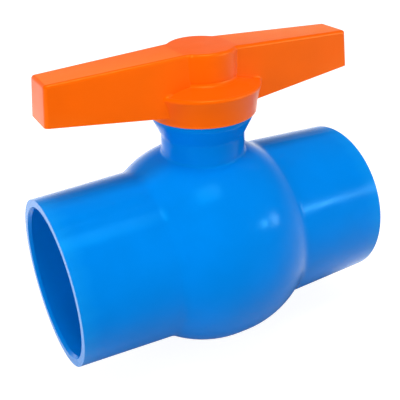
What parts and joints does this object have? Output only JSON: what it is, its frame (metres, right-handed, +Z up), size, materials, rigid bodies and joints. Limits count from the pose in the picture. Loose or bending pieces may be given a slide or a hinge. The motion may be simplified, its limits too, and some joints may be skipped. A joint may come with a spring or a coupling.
{
  "type": "ball valve",
  "caption": "Moulded plastic ball valve with plain pipe sockets, a bulged middle, a flared neck and a two-winged quarter-turn handle.",
  "frame": {"origin": "centre of the ball, where the pipe axis and the stem axis cross", "axes": "+X along the pipe, +Z up along the stem; the handle lies along X when the valve is open"},
  "size_m": [0.144, 0.0918, 0.1339],
  "materials": {
    "blue_plastic": "smooth moulded",
    "orange_plastic": "smooth moulded, slightly satin",
    "white_plastic": "moulded",
    "ball_plastic": "polished",
    "seat_plastic": "waxy",
    "rubber_ring": "matt"
  },
  "bodies": {
    "housing": {"valve_body": "blue_plastic", "thrust_washer": "seat_plastic", "seat_left": "seat_plastic", "seat_cushion_left": "rubber_ring", "ball_holder_left": "white_plastic", "holder_seal_left": "rubber_ring", "seat_right": "seat_plastic", "seat_cushion_right": "rubber_ring", "ball_holder_right": "white_plastic", "holder_seal_right": "rubber_ring"},
    "stem_group": {"stem": "white_plastic", "stem_seal_lower": "rubber_ring", "stem_seal_upper": "rubber_ring", "handle": "orange_plastic"},
    "ball_group": {"ball": "ball_plastic"}
  },
  "joints": [
    {"name": "handle_turn", "type": "hinge", "parent": "housing", "child": "stem_group", "pos_m": [0, 0, 0], "axis": [0, 0, -1], "range_deg": [0, 90]},
    {"name": "ball_turn", "type": "hinge", "parent": "housing", "child": "ball_group", "pos_m": [0, 0, 0], "axis": [0, 0, -1], "range_deg": [0, 90]}
  ],
  "couplings": [
    {"joint": "ball_turn", "follows": "handle_turn", "ratio": 1}
  ]
}
